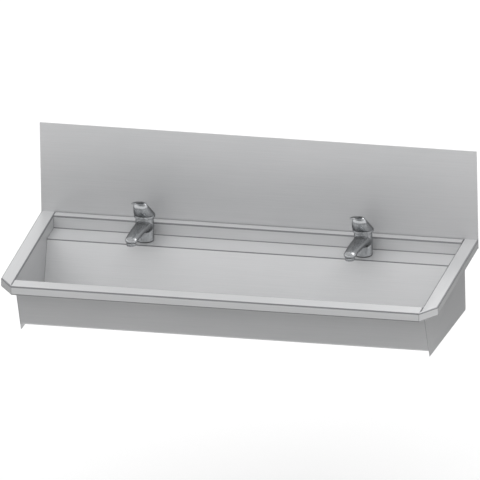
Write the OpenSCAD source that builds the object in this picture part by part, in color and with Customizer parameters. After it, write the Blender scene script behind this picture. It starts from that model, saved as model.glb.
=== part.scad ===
// Wall-hung stainless trough sink with two single-lever mixer taps.
// Origin: on the wall, in the middle of the length, level with the rims.
// +X runs to the right, +Y into the wall, +Z up.

/* [Trough] */
// Length over both end rims
length = 1200; // [1000:10:1800]
// Depth from the front edge to the wall
depth = 550; // [520:5:620]
// Thickness of the stainless sheet
sheet = 1.5; // [1:0.25:2]
// Width of the front rim
front_rim = 50; // [40:1:70]
// Width of each end rim
end_rim = 40; // [32:1:60]
// Height of the drop edge round the rims
drop_edge = 25; // [18:1:35]
// Width of the fold at the foot of the drop edge
drop_fold = 8; // [5:1:12]
// How far back the clipped front corner reaches
corner_clip = 56; // [45:1:80]
// Inner radius of the sharp folds
fold_r = 2; // [1.5:0.25:3]

/* [Bowl] */
// Depth of the bowl at the foot of the front wall
bowl_front = 151; // [120:1:180]
// How far the front wall leans back on its way down
front_lean = 60; // [40:1:80]
// Fall of the floor from the front wall to the back wall
floor_fall = 22; // [12:1:30]
// How far the back wall leans forward on its way down
back_lean = 58; // [40:1:80]
// Inner radius where the walls meet the floor
bowl_r = 12; // [6:1:20]
// How far the end plates stand below the floor
end_skirt = 17; // [10:1:30]
// Height along the front wall of the seam between the front sheet and the bowl's sheet
seam_up = 30; // [25:1:60]
// Distance along the back wall from the ledge to the seam with the bowl's sheet
seam_down = 12; // [8:1:40]

/* [Tap ledge and back] */
// Width of the ledge that the taps stand on
ledge_w = 80; // [72:1:100]
// Drop from the rims to the ledge
ledge_drop = 35; // [20:1:50]
// Width of the strip between the ledge and the wall
back_strip = 32; // [28:1:45]
// Height of the splashback above the rims
splash_h = 255; // [150:5:400]
// How far the splashback reaches down behind the strip
splash_lap = 25; // [15:1:32]

/* [Wall fixing] */
// Height of the wall rail
rail_h = 70; // [50:1:90]
// Width of the rail's top flange, under the ledge
rail_top = 40; // [36:1:42]
// Width of the rail's bottom flange
rail_foot = 22; // [15:1:30]
// Distance between the two slots in the rail
slot_pitch = 800; // [600:10:900]
// Length of each slot, end to end
slot_l = 26; // [20:1:36]
// Width of each slot
slot_w = 11; // [9:0.5:13]
// Width of the wall flange at the back of each end plate
wall_flange = 30; // [25:1:40]
// Radius of the hole low in each wall flange
flange_hole_r = 4.5; // [3.5:0.25:5.5]
// Height of that hole above the foot of the end plate
flange_hole_up = 30; // [20:1:50]

/* [Waste] */
// Distance of the waste from the wall
waste_back = 235; // [225:1:300]
// Radius of the pressed recess round the waste
recess_r = 46; // [44.5:0.5:52]
// Depth of the recess at its middle
recess_drop = 8; // [6:0.5:12]
// Radius of the waste's flange
flange_r = 42.5; // [38:0.5:43]
// Outer radius of the waste's threaded tail
tail_r = 23.9; // [22:0.1:24.5]
// Inner radius of the tail
tail_bore_r = 20.5; // [18:0.5:21]
// Length of the tail below the recess
tail_l = 47; // [42:1:80]
// Radius of the grid over the waste
grid_r = 30; // [27:0.5:33]
// Radius of each hole in the grid
grid_hole_r = 3; // [2:0.25:3.5]

/* [Taps] */
// Distance between the two taps
tap_pitch = 600; // [500:10:700]
// Radius of the tap's body
body_r = 24.5; // [23.5:0.25:27]
// Height of the tap's body above the ledge
body_h = 65; // [60:1:75]
// Reach of the spout, from the tap's axis to the outlet
spout_reach = 163; // [130:1:180]
// Width of the spout where it leaves the body
spout_w = 47; // [40:1:48]
// Width of the spout's tip
spout_tip_w = 34; // [30:1:40]
// Height of the outlet above the ledge
outlet_h = 48; // [46:1:56]
// Radius of the outlet
outlet_r = 13; // [12.25:0.25:15]
// Radius of the hole in the ledge under each tap
tap_hole_r = 17.5; // [16.5:0.25:18.5]
// Radius of the threaded inlets under the tap
inlet_r = 4.6; // [4:0.1:5]
// Distance between the two inlets
inlet_pitch = 16; // [14:0.5:18]

/* [Lever] */
// Outer radius of the lever's hood at its open foot
hood_r = 28.5; // [28:0.25:31]
// Wall of the hood
hood_wall = 2.5; // [1.5:0.25:3]
// Width of the hood where it leans forward, below the blade
nose_w = 41; // [36:1:46]
// How far the lever's blade reaches in front of the tap's axis
blade_reach = 129; // [110:1:160]
// Rise of the blade's tip above the top of the hood
blade_rise = 30.5; // [20:0.5:40]
// Width of the blade
blade_w = 16; // [12:1:20]
// Thickness of the blade
blade_t = 5.5; // [4:0.25:7]
// Radius of the pivot pin
pin_r = 2; // [1.5:0.25:2.5]
// Thickness of the spindle, from side to side
spindle_w = 8.4; // [7:0.1:9]

/* [Clearances] */
// Radial clearance of what turns in its bore
running_gap = 0.05; // [0.02:0.01:0.08]
// Clearance of what is only pushed or screwed in
seat_gap = 0.1; // [0.05:0.05:0.2]

/* [Hidden] */

$fn = 64;
over = 1;              // how far a cut runs past what it cuts
long_cut = 80;         // length of a cut that leaves its piece
hull_fn = 32;          // sides of the round shapes that are hulled

steel = [0.78, 0.78, 0.79];
chrome = [0.55, 0.55, 0.57];
rubber = [0.15, 0.15, 0.15];
plastic = [0.85, 0.85, 0.83];

// Trough, worked out from the sizes above. Points are [y, z] across the trough.
end_x = length / 2 - end_rim;                        // inner face of the right end plate
front_y = -depth;
ledge_y = -back_strip - ledge_w;                     // front edge of the ledge
front_foot = [front_y + front_rim + front_lean, -bowl_front];
back_foot = [ledge_y - back_lean, -bowl_front - floor_fall];
floor_slope = (back_foot[1] - front_foot[1]) / (back_foot[0] - front_foot[0]);
shell_line = [[front_y + drop_fold, -drop_edge], [front_y, -drop_edge], [front_y, 0],
              [front_y + front_rim, 0], front_foot, back_foot, [ledge_y, -ledge_drop],
              [-back_strip, -ledge_drop], [-back_strip, 0], [-sheet, 0], [-sheet, -splash_lap]];
front_weld = shell_line[4] + seam_up * unit(shell_line[3] - shell_line[4]);
back_weld = shell_line[6] + seam_down * unit(shell_line[5] - shell_line[6]);
shell_back = offset_line(shell_line, -sheet);        // the hidden face of the same sheets
fold_l = sheet + fold_r;                             // what a fold takes up on its outer side
clip = [end_rim, corner_clip];                       // run of the clipped corner in plan

// Wall fixing
rail_z = -ledge_drop - sheet;                        // the rail's top flange lies under the ledge
slot_z = rail_z - rail_h / 2;
flange_x = end_x - wall_flange;                      // inner edge of the end plate's wall flange
foot_back_z = floor_z(0) - end_skirt;                // lowest corner of the end plates, at the wall
flange_top = -splash_lap - over;
flange_hole_z = foot_back_z + flange_hole_up;
flange_hole_x = end_x - wall_flange / 2;

// Waste
waste_y = -waste_back;
seat_z = floor_z(waste_y) - recess_drop;             // top face of the recess's floor
recess_room = recess_r + 2 * sheet;                  // half of the square that holds the recess
waste_hole_r = tail_r + 2;
seal_t = 2;
flange_t = 6;
grid_t = 2.5;
grid_top = seat_z + seal_t + flange_t;
washer_t = 3;
nut_t = 9;
nut_top = seat_z - sheet - washer_t;
relief_t = 1.5;
relief_d = 0.5;
trap_thread_top = nut_top - nut_t - 1 - relief_t;    // end of the thread that the trap's nut takes
bar_t = 5;                                           // the bar across the tail that takes the grid's screw
bar_top = grid_top - flange_t;
screw_r = 2.9;

// Tap, in its own frame: the ledge's top face at 0, the spout along -Y
tap_x = tap_pitch / 2;
tap_y = -back_strip - ledge_w / 2;
plate_t = 3;
plate_w = 66;
plate_d = 60;
base_t = 1.5;                                        // rubber seal under the body
stud_y = 11;
stud_r = 3.95;
stud_top = 15;
stud_end = -45;
gasket_t = 3;
horseshoe_t = 2.5;
horseshoe_r = 26;
hose_gap = 14;                                       // half-width of the horseshoe's opening
stud_nut_t = 6.5;
under_ledge = -sheet - plate_t;
inlet_y = -5;
inlet_l = 12;

solder_gap = 0.05;                                   // between the body and the spout

cartridge_r = 17.5;
cartridge_foot = 22;
cartridge_top = body_h - 9;
nut_thread_r = 20;
pivot_h = body_h - 3;                                // height of the lever's pivot
dome_r = body_r - 1;                                 // ball-shaped cover round the pivot
dome_mouth = 14;
carrier_r = 12;
carrier_foot = pivot_h - 22;
fork_floor = pivot_h - 12;
spindle_d = 8;
spindle_foot = pivot_h - 10;
hood_foot = body_h + 3;                              // open edge of the hood
back_r = 13;                                         // ball form at the back of the hood's ridge
back_h = body_h + 25;
boss_r = 9;
boss_foot = pivot_h + dome_r + 1.5;
spindle_top = boss_foot + 11;
hood_rim = 6;                                        // upright rim at the hood's foot
nose_y = -42;                                        // middle of the hood's forward form
nose_h = body_h + 43;
nose_rise = 17;
nose_depth = 13;
hood_peak = nose_h + nose_rise;
plug_foot = 36;                                      // inner end of the plug, from the tap's axis
screw_h = boss_foot + 6;
lever_screw_r = 2.5;
plug_r = 4;

nozzle_h = outlet_h + 6.5;                           // where the aerator's collar meets the spout
aerator_thread_r = outlet_r - 1.5;
insert_r = outlet_r - 3;
aerator_thread_l = 6;
// Round forms that the spout runs through: [y, z] of each, and its half sizes along x, y and z
spout_forms = [[[-8, body_h - 25], [spout_w / 2, 16, 17]],
               [[-spout_reach / 2 - 2.5, outlet_h + 8], [(spout_w + spout_tip_w) / 4 - 1.25, 14, 10]],
               [[3 - spout_reach, outlet_h + 14], [spout_tip_w / 2, spout_tip_w / 2, 9]]];

// Height of the bowl floor's upper face at a distance from the wall
function floor_z(y) = front_foot[1] + (y - front_foot[0]) * floor_slope;

function unit(v) = v / norm(v);
function left_of(v) = [-v[1], v[0]];
function backwards(list) = [for (i = [len(list) - 1:-1:0]) list[i]];

// Where the line through p along d meets the line through q along e
function meet(p, d, q, e) = p + d * cross(q - p, e) / cross(d, e);

// The same open line moved sideways by d, to the left when d is positive, its corners mitred
function offset_line(line, d) = [
    for (i = [0:len(line) - 1])
        let (a = i == 0 ? undef : left_of(unit(line[i] - line[i - 1])),
             b = i == len(line) - 1 ? undef : left_of(unit(line[i + 1] - line[i])))
        i == 0 ? line[i] + d * b
        : i == len(line) - 1 ? line[i] + d * a
        : line[i] + d * (a + b) / (1 + a * b)
];

// An open line with each corner turned into an arc of its own radius
function rounded_line(line, radii, steps = 6) = [
    for (i = [0:len(line) - 1])
        if (i == 0 || i == len(line) - 1) line[i]
        else
            let (u = unit(line[i] - line[i - 1]),
                 v = unit(line[i + 1] - line[i]),
                 side = cross(u, v) > 0 ? 1 : -1,
                 turn = acos(u * v),
                 start = line[i] - u * radii[i] * tan(turn / 2),
                 hub = start + side * radii[i] * left_of(u))
            for (k = [0:steps])
                let (a = side * turn * k / steps, w = start - hub)
                hub + [w[0] * cos(a) - w[1] * sin(a), w[0] * sin(a) + w[1] * cos(a)]
];

// Radius of each corner on one face of a sheet of thickness t to the right of the line
function face_radii(line, radii, t, hidden) = [
    for (i = [0:len(line) - 1])
        i == 0 || i == len(line) - 1 ? 0
        : let (side = cross(line[i] - line[i - 1], line[i + 1] - line[i]) * t > 0 ? 1 : -1)
          radii[i] + ((side < 0) == hidden ? 0 : abs(t))
];

// A folded sheet seen from its end: line is one face, the sheet lies to its right by t
module folded(line, radii, t = sheet) {
    face = rounded_line(line, face_radii(line, radii, t, false));
    other = rounded_line(offset_line(line, -t), face_radii(line, radii, t, true));
    polygon(concat(face, backwards(other)));
}

// Turns a drawing of [y, z] points into a solid from x0 to x1
module along_x(x0, x1) {
    translate([x0, 0, 0]) rotate([90, 0, 90]) linear_extrude(height = x1 - x0) children();
}

// Turns a drawing of [x, z] points into a solid from y0 to y1
module along_y(y0, y1) {
    translate([0, y1, 0]) rotate([90, 0, 0]) linear_extrude(height = y1 - y0) children();
}

module ring(outer, inner, h) {
    difference() {
        cylinder(r = outer, h = h);
        translate([0, 0, -over]) cylinder(r = inner, h = h + 2 * over);
    }
}

// A slot along x, through a wall that stands across y
module slot(l, w, thick) {
    for (x = [-1, 1])
        translate([x * (l - w) / 2, 0, 0]) rotate([90, 0, 0])
            cylinder(r = w / 2, h = thick, center = true);
    cube([l - w, thick, w], center = true);
}

// ---- Trough ----

// Drop edge, front rim and front wall, welded to the bowl's sheet above the fold at its foot
module front_sheet() color(steel)
    along_x(-end_x, end_x)
        folded([shell_line[0], shell_line[1], shell_line[2], shell_line[3], front_weld],
               [for (i = [0:4]) fold_r]);

// Floor and back wall, with the pressed recess for the waste
module bowl_sheet() color(steel)
    difference() {
        union() {
            along_x(-end_x, end_x)
                folded([front_weld, shell_line[4], shell_line[5], back_weld], [for (i = [0:3]) bowl_r]);
            // wall and floor of the recess, up to the bowl's floor
            intersection() {
                translate([0, waste_y, seat_z - sheet])
                    cylinder(r = recess_r + sheet, h = 4 * recess_drop);
                along_x(-recess_room, recess_room)
                    let (near = waste_y - recess_room, far = waste_y + recess_room)
                        polygon([[near, floor_z(near)], [far, floor_z(far)],
                                 [far, seat_z - 2 * sheet], [near, seat_z - 2 * sheet]]);
            }
        }
        translate([0, waste_y, seat_z]) cylinder(r = recess_r, h = 4 * recess_drop);
        translate([0, waste_y, seat_z - sheet - over]) cylinder(r = waste_hole_r, h = sheet + 2 * over);
    }

// Ledge, riser, back strip and the lip that lies on the splashback
module ledge_sheet() color(steel)
    difference() {
        along_x(-end_x, end_x)
            folded([back_weld, for (i = [6:10]) shell_line[i]], [for (i = [0:5]) fold_r]);
        for (x = [-tap_x, tap_x])
            translate([x, tap_y, -ledge_drop - sheet - over])
                cylinder(r = tap_hole_r, h = sheet + 2 * over);
    }

// Side outline of an end plate: it follows the front wall down to a point below the floor
module end_outline() {
    wall_dir = shell_back[4] - shell_back[3];
    floor_dir = shell_line[5] - shell_line[4];
    tip = meet(shell_back[3], wall_dir, shell_line[4] - [0, end_skirt], floor_dir);
    top = meet(shell_back[3], wall_dir, [0, -fold_l], [1, 0]);
    polygon([top, tip, [-fold_l, floor_z(-fold_l) - end_skirt], [-fold_l, flange_top],
             [-sheet, flange_top], [-sheet, -fold_l]]);
}

// Plan of an end rim with its clipped front corner, its outer edges drawn in by d
module end_plan(d) {
    n = left_of(unit(clip));
    edge = [end_x, front_y] + d * n;
    side = [length / 2 - d, -sheet];
    polygon([meet(edge, clip, [end_x - over, 0], [0, 1]), meet(edge, clip, side, [0, 1]),
             side, [end_x - over, -sheet]]);
}

// The drop edge along a plan direction, its top turned down from the rim and its foot folded in
module drop_run(start, dir, run) {
    translate(concat(start, 0)) rotate([0, 0, atan2(dir[1], dir[0])]) rotate([90, 0, 90])
        translate([0, 0, -end_rim]) linear_extrude(height = run + 2 * end_rim)
            folded([[drop_fold, -drop_edge], [0, -drop_edge], [0, 0], [fold_l + 3, 0]],
                   [for (i = [0:3]) fold_r]);
}

module end_plate() color(steel) {
    corner = [length / 2, front_y + corner_clip];
    mitre = unit([-1, 0] + left_of(unit(clip)));
    inner = corner - mitre * end_rim / mitre[0];
    outer = corner - 5 * mitre;
    low = -drop_edge - over;
    // rim, and the fold down into the plate
    intersection() {
        along_y(front_y, -sheet)
            folded([[end_x, -fold_l - over], [end_x, 0], [length / 2 - fold_l, 0]], [for (i = [0:2]) fold_r]);
        translate([0, 0, low]) linear_extrude(height = over - low) end_plan(fold_l + 2);
    }
    // drop edge along the side and along the clipped corner, mitred where they meet
    intersection() {
        drop_run(corner, [0, 1], depth);
        translate([0, 0, low]) linear_extrude(height = over - low)
            polygon([outer, inner, [end_x, -sheet], [outer[0], -sheet]]);
    }
    intersection() {
        drop_run([end_x, front_y], clip, norm(clip));
        translate([0, 0, low]) linear_extrude(height = over - low)
            polygon([outer, inner, [end_x, front_y - 5], [outer[0], front_y - 5]]);
    }
    // the plate that closes the bowl
    along_x(end_x, end_x + sheet) end_outline();
    // the flange that lies on the wall, below the splashback
    difference() {
        translate([0, 0, foot_back_z + 4]) linear_extrude(height = flange_top - foot_back_z - 4)
            folded([[end_x + sheet, -4 * fold_l], [end_x + sheet, 0], [flange_x, 0]],
                   [for (i = [0:2]) fold_r], -sheet);
        translate([flange_hole_x, -sheet / 2, flange_hole_z]) rotate([90, 0, 0])
            cylinder(r = flange_hole_r, h = 4 * sheet, center = true);
    }
}

module splashback() color(steel)
    translate([-length / 2, -sheet, -splash_lap]) cube([length, sheet, splash_lap + splash_h]);

module wall_rail() color(steel) {
    line = [[-rail_top, rail_z], [0, rail_z], [0, rail_z - rail_h], [-rail_foot, rail_z - rail_h]];
    difference() {
        along_x(-flange_x, flange_x) folded(line, [for (p = line) fold_r]);
        for (x = [-1, 1])
            translate([x * slot_pitch / 2, -sheet / 2, slot_z]) slot(slot_l, slot_w, 4 * sheet);
    }
}

module tap_plate() color(steel)
    difference() {
        translate([-plate_w / 2, -plate_d / 2, under_ledge]) cube([plate_w, plate_d, plate_t]);
        translate([0, 0, under_ledge - over]) cylinder(r = tap_hole_r, h = plate_t + 2 * over);
    }

// ---- Waste ----

module waste_body() color(chrome)
    translate([0, waste_y, 0]) {
        difference() {
            union() {
                translate([0, 0, seat_z + seal_t]) rotate_extrude()
                    polygon([[0, 0], [flange_r, 0], [flange_r, 1.5], [grid_r + 3, flange_t], [0, flange_t]]);
                translate([0, 0, seat_z - tail_l]) cylinder(r = tail_r, h = tail_l + seal_t + over);
            }
            translate([0, 0, grid_top - grid_t]) cylinder(r = grid_r + seat_gap, h = grid_t + over);
            translate([0, 0, seat_z - tail_l - over]) cylinder(r = tail_bore_r, h = long_cut);
            // relief between the nut's thread and the trap's
            translate([0, 0, trap_thread_top]) ring(tail_r + over, tail_r - relief_d, relief_t);
        }
        // bar across the bore, with the thread for the grid's screw
        difference() {
            intersection() {
                translate([-tail_r, -5, bar_top - bar_t]) cube([2 * tail_r, 10, bar_t]);
                translate([0, 0, bar_top - bar_t]) cylinder(r = tail_bore_r + 1, h = bar_t);
            }
            translate([0, 0, bar_top - bar_t - over]) cylinder(r = screw_r + seat_gap, h = bar_t + 2 * over);
        }
    }

module waste_grid() color(steel)
    translate([0, waste_y, grid_top - grid_t])
        difference() {
            cylinder(r = grid_r, h = grid_t);
            translate([0, 0, -over]) cylinder(r = screw_r + seat_gap, h = grid_t + 2 * over);
            // two rings of holes
            for (row = [[6, 11], [12, 19]])
                for (i = [0:row[0] - 1])
                    rotate([0, 0, 360 * i / row[0]]) translate([row[1], 0, -over])
                        cylinder(r = grid_hole_r, h = grid_t + 2 * over, $fn = 24);
        }

module grid_screw() color(steel)
    translate([0, waste_y, 0]) {
        translate([0, 0, bar_top - bar_t - 2]) cylinder(r = screw_r, h = grid_top - bar_top + bar_t + 2);
        difference() {
            translate([0, 0, grid_top]) cylinder(r1 = 5.5, r2 = 4.5, h = 2);
            translate([-5, -0.6, grid_top + 1]) cube([10, 1.2, 2]);
        }
    }

module waste_seal() color(rubber)
    translate([0, waste_y, seat_z]) ring(flange_r - 2, tail_r + seat_gap, seal_t);

module waste_washer() color(rubber)
    translate([0, waste_y, nut_top]) ring(tail_r + 11, tail_r + seat_gap, washer_t);

module waste_nut() color(plastic)
    translate([0, waste_y, nut_top - nut_t])
        difference() {
            union() {
                cylinder(r = tail_r + 7, h = nut_t);
                translate([0, 0, nut_t - 2]) cylinder(r = tail_r + 10, h = 2);
                // lugs for gripping
                for (i = [0:7])
                    rotate([0, 0, 45 * i]) translate([tail_r + 6, -2.5, 0]) cube([4, 5, nut_t]);
            }
            translate([0, 0, -over]) cylinder(r = tail_r + seat_gap, h = nut_t + 2 * over);
        }

// ---- Tap ----

module tap_body() color(chrome)
    difference() {
        translate([0, 0, base_t]) rotate_extrude()
            polygon([[0, 0], [body_r, 0], [body_r, body_h - base_t - 1.5],
                     [body_r - 1, body_h - base_t], [0, body_h - base_t]]);
        // room for the cartridge and its nut
        translate([0, 0, cartridge_foot]) cylinder(r = cartridge_r + seat_gap, h = body_h);
        translate([0, 0, cartridge_top]) cylinder(r = nut_thread_r, h = body_h);
        // inlets and stud hole
        for (x = [-1, 1])
            translate([x * inlet_pitch / 2, inlet_y, base_t - over])
                cylinder(r = inlet_r, h = inlet_l + over);
        translate([0, stud_y, base_t - over]) cylinder(r = stud_r + seat_gap, h = stud_top - base_t + over);
    }

// Tapering spout, soldered to the side of the body. It rises quickly and then runs out flatter.
module spout() color(chrome)
    difference() {
        for (i = [0:len(spout_forms) - 2])
            hull($fn = hull_fn)
                for (form = [spout_forms[i], spout_forms[i + 1]])
                    translate(concat(0, form[0])) scale(form[1]) sphere(r = 1, $fn = hull_fn);
        cylinder(r = body_r + solder_gap, h = 2 * body_h);
        // flat seat for the aerator's collar, and the outlet
        translate([0, -spout_reach, 0]) cylinder(r = outlet_r + 1, h = nozzle_h);
        translate([0, -spout_reach, nozzle_h - over])
            cylinder(r = aerator_thread_r + seat_gap, h = aerator_thread_l + 2 * over);
    }

module base_seal() color(rubber) ring(body_r - 0.5, tap_hole_r + 1, base_t);

module cartridge() color(plastic)
    translate([0, 0, cartridge_foot])
        difference() {
            cylinder(r = cartridge_r, h = cartridge_top - cartridge_foot);
            translate([0, 0, carrier_foot - cartridge_foot])
                cylinder(r = carrier_r + running_gap, h = cartridge_top);
            // water ways in its foot
            for (i = [0:2])
                rotate([0, 0, 120 * i]) translate([9, 0, -over]) cylinder(r = 4, h = 6 + over, $fn = 32);
        }

// Ball-shaped nut that holds the cartridge down and shows between the body and the hood
module dome_nut() color(chrome) {
    first = asin((body_h - pivot_h) / dome_r);
    last = acos(dome_mouth / dome_r);
    rotate_extrude()
        polygon(concat([[dome_mouth, cartridge_top], [nut_thread_r - seat_gap, cartridge_top],
                        [nut_thread_r - seat_gap, body_h]],
                       [for (k = [0:8]) let (a = first + (last - first) * k / 8)
                           [dome_r * cos(a), pivot_h + dome_r * sin(a)]]));
}

// Forked piece that turns in the cartridge
module carrier() color(plastic)
    difference() {
        translate([0, 0, carrier_foot]) cylinder(r = carrier_r, h = pivot_h + 4 - carrier_foot);
        translate([-spindle_w / 2 - seat_gap, -carrier_r - over, fork_floor])
            cube([spindle_w + 2 * seat_gap, 2 * (carrier_r + over), 40]);
        translate([0, 0, pivot_h]) rotate([0, 90, 0])
            cylinder(r = pin_r + running_gap, h = 3 * carrier_r, center = true);
    }

module pivot_pin() color(chrome)
    translate([0, 0, pivot_h]) rotate([0, 90, 0])
        cylinder(r = pin_r, h = 2 * carrier_r - 1.5, center = true);

module spindle() color(chrome)
    difference() {
        translate([-spindle_w / 2, -spindle_d / 2, spindle_foot])
            cube([spindle_w, spindle_d, spindle_top - spindle_foot]);
        translate([0, 0, pivot_h]) rotate([0, 90, 0])
            cylinder(r = pin_r + running_gap, h = 2 * spindle_w, center = true);
    }

// The hood's form, a round foot that leans forward as it rises, drawn in by a wall
module hood_form(wall) {
    hull($fn = hull_fn) {
        translate([0, 0, hood_foot]) cylinder(r = hood_r - wall, h = hood_rim, $fn = 2 * hull_fn);
        translate([0, 0, back_h]) sphere(r = back_r - wall, $fn = hull_fn);
        translate([0, nose_y, nose_h]) scale([nose_w / 2 - wall, nose_depth - wall, nose_rise - wall])
            sphere(r = 1, $fn = hull_fn);
    }
}

module lever() color(chrome)
    difference() {
        union() {
            hood_form(0);
            // blade: it rises forward from the top of the hood
            hull($fn = hull_fn) {
                for (end = [[nose_y - 3, hood_peak], [blade_w / 2 - blade_reach, hood_peak + blade_rise]])
                    translate([0, end[0], end[1] - blade_t])
                        cylinder(r = blade_w / 2, h = blade_t, $fn = hull_fn);
            }
        }
        // hollow, with a boss left in the middle
        difference() {
            union() {
                hood_form(hood_wall);
                translate([0, 0, hood_foot - over]) cylinder(r = hood_r - hood_wall, h = 2 * over);
            }
            translate([0, 0, boss_foot]) cylinder(r = boss_r, h = long_cut);
            // collar round the screw, from the boss to the nose
            translate([0, 0, screw_h]) rotate([90, 0, 0]) cylinder(r = plug_r + hood_wall, h = long_cut);
        }
        // square socket for the spindle, screw hole and the plug's hole
        translate([-spindle_w / 2 - seat_gap, -spindle_d / 2 - seat_gap, boss_foot - over])
            cube([spindle_w + 2 * seat_gap, spindle_d + 2 * seat_gap, spindle_top - boss_foot + 0.5 + over]);
        translate([0, 0, screw_h]) rotate([90, 0, 0]) cylinder(r = lever_screw_r + seat_gap, h = long_cut);
        translate([0, -plug_foot, screw_h]) rotate([90, 0, 0])
            cylinder(r = plug_r + seat_gap, h = long_cut);
    }

module lever_screw() color(steel)
    translate([0, -spindle_d / 2, screw_h]) rotate([90, 0, 0])
        difference() {
            cylinder(r = lever_screw_r, h = 10);
            translate([0, 0, 7]) cylinder(r = 1.3, h = 4, $fn = 6);
        }

// Plug over the screw's hole, flush with the hood
module index_plug() color(plastic)
    intersection() {
        hood_form(0);
        translate([0, -plug_foot, screw_h]) rotate([90, 0, 0]) cylinder(r = plug_r, h = long_cut);
    }

module aerator() color(chrome)
    translate([0, -spout_reach, outlet_h])
        difference() {
            union() {
                cylinder(r = outlet_r, h = nozzle_h - outlet_h);
                cylinder(r = aerator_thread_r, h = nozzle_h - outlet_h + aerator_thread_l);
            }
            translate([0, 0, -over]) cylinder(r = insert_r, h = 20);
        }

module aerator_insert() color(plastic)
    translate([0, -spout_reach, outlet_h + 1])
        difference() {
            cylinder(r = insert_r - seat_gap, h = 7);
            for (row = [[1, 0], [6, 3.4], [12, 6.9]])
                for (i = [0:row[0] - 1])
                    rotate([0, 0, 360 * i / row[0]]) translate([row[1], 0, -over])
                        cylinder(r = 1.1, h = 7 + 2 * over, $fn = 16);
        }

module stud() color(steel)
    translate([0, stud_y, stud_end]) cylinder(r = stud_r, h = stud_top - stud_end);

// Flat horseshoe round the hoses, with a hole for the stud
module horseshoe(t) {
    difference() {
        cylinder(r = horseshoe_r, h = t);
        translate([-hose_gap, -horseshoe_r - over, -over])
            cube([2 * hose_gap, horseshoe_r + over + 4, t + 2 * over]);
        translate([0, stud_y, -over]) cylinder(r = stud_r + seat_gap, h = t + 2 * over);
    }
}

module horseshoe_gasket() color(rubber)
    translate([0, 0, under_ledge - gasket_t]) horseshoe(gasket_t);

module horseshoe_washer() color(steel)
    translate([0, 0, under_ledge - gasket_t - horseshoe_t]) horseshoe(horseshoe_t);

module stud_nut() color(steel)
    translate([0, stud_y, under_ledge - gasket_t - horseshoe_t - stud_nut_t])
        difference() {
            cylinder(r = 7.5, h = stud_nut_t, $fn = 6);
            translate([0, 0, -over]) cylinder(r = stud_r + seat_gap, h = stud_nut_t + 2 * over);
        }

module left() { translate([-tap_x, tap_y, -ledge_drop]) children(); }
module right() { translate([tap_x, tap_y, -ledge_drop]) children(); }

front_sheet();
bowl_sheet();
ledge_sheet();
mirror([1, 0, 0]) end_plate();  // left_end
end_plate();  // right_end
splashback();
wall_rail();
left() tap_plate();  // left_tap_plate
right() tap_plate();  // right_tap_plate
waste_body();
waste_grid();
grid_screw();
waste_seal();
waste_washer();
waste_nut();
left() tap_body();  // left_tap_body
left() spout();  // left_spout
left() base_seal();  // left_base_seal
left() cartridge();  // left_cartridge
left() dome_nut();  // left_dome_nut
left() carrier();  // left_carrier
left() pivot_pin();  // left_pivot_pin
left() spindle();  // left_spindle
left() lever();  // left_lever
left() lever_screw();  // left_lever_screw
left() index_plug();  // left_index_plug
left() aerator();  // left_aerator
left() aerator_insert();  // left_aerator_insert
left() stud();  // left_stud
left() horseshoe_gasket();  // left_horseshoe_gasket
left() horseshoe_washer();  // left_horseshoe_washer
left() stud_nut();  // left_stud_nut
right() tap_body();  // right_tap_body
right() spout();  // right_spout
right() base_seal();  // right_base_seal
right() cartridge();  // right_cartridge
right() dome_nut();  // right_dome_nut
right() carrier();  // right_carrier
right() pivot_pin();  // right_pivot_pin
right() spindle();  // right_spindle
right() lever();  // right_lever
right() lever_screw();  // right_lever_screw
right() index_plug();  // right_index_plug
right() aerator();  // right_aerator
right() aerator_insert();  // right_aerator_insert
right() stud();  // right_stud
right() horseshoe_gasket();  // right_horseshoe_gasket
right() horseshoe_washer();  // right_horseshoe_washer
right() stud_nut();  // right_stud_nut
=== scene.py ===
import math
import bpy
import numpy as np
from mathutils import Matrix, Vector
from mathutils.geometry import delaunay_2d_cdt


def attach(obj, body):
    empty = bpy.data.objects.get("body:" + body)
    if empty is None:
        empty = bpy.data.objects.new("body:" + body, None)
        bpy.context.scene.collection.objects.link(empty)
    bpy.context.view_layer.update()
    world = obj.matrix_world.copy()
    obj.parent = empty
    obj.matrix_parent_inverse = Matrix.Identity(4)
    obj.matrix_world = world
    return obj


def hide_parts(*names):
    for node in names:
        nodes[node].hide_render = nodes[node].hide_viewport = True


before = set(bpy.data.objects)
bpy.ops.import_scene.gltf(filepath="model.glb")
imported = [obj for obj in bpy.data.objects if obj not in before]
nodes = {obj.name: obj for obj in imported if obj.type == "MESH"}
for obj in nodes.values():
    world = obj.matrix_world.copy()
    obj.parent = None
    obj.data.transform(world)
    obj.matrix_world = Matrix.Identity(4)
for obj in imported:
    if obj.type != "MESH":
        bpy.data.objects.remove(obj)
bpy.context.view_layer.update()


# camera

cameraView = {
    "right": (0.975415, 0.219667, -0.017825),   # across the picture
    "up": (-0.065423, 0.365835, 0.928379),      # up the picture, leaning a degree
    "back": (0.210455, -0.904389, 0.371212),    # from the sink to the camera
    "centre": (-0.0495, -0.0264, -0.0362),      # metres, in the middle of the picture
    "scale": 1.2855,                            # metres across the picture
    "distance": 4.0,
    "clipEnd": 40,
}


def addCamera(view):
    lens = bpy.data.cameras.new("camera")
    lens.type = "ORTHO"
    lens.ortho_scale = view["scale"]
    lens.clip_end = view["clipEnd"]
    camera = bpy.data.objects.new("camera", lens)
    bpy.context.collection.objects.link(camera)
    turn = Matrix((view["right"], view["up"], view["back"])).transposed().to_4x4()
    place = Vector(view["centre"]) + Vector(view["back"]) * view["distance"]
    camera.matrix_world = Matrix.Translation(place) @ turn
    bpy.context.scene.camera = camera


addCamera(cameraView)
bpy.context.scene.view_settings.view_transform = "Standard"
print("camera set")


# materials

def linear(hexColour):  # sRGB hex to linear
    parts = [int(hexColour[i:i + 2], 16) / 255 for i in (1, 3, 5)]
    return [p / 12.92 if p <= 0.04045 else ((p + 0.055) / 1.055) ** 2.4 for p in parts] + [1.0]


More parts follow.
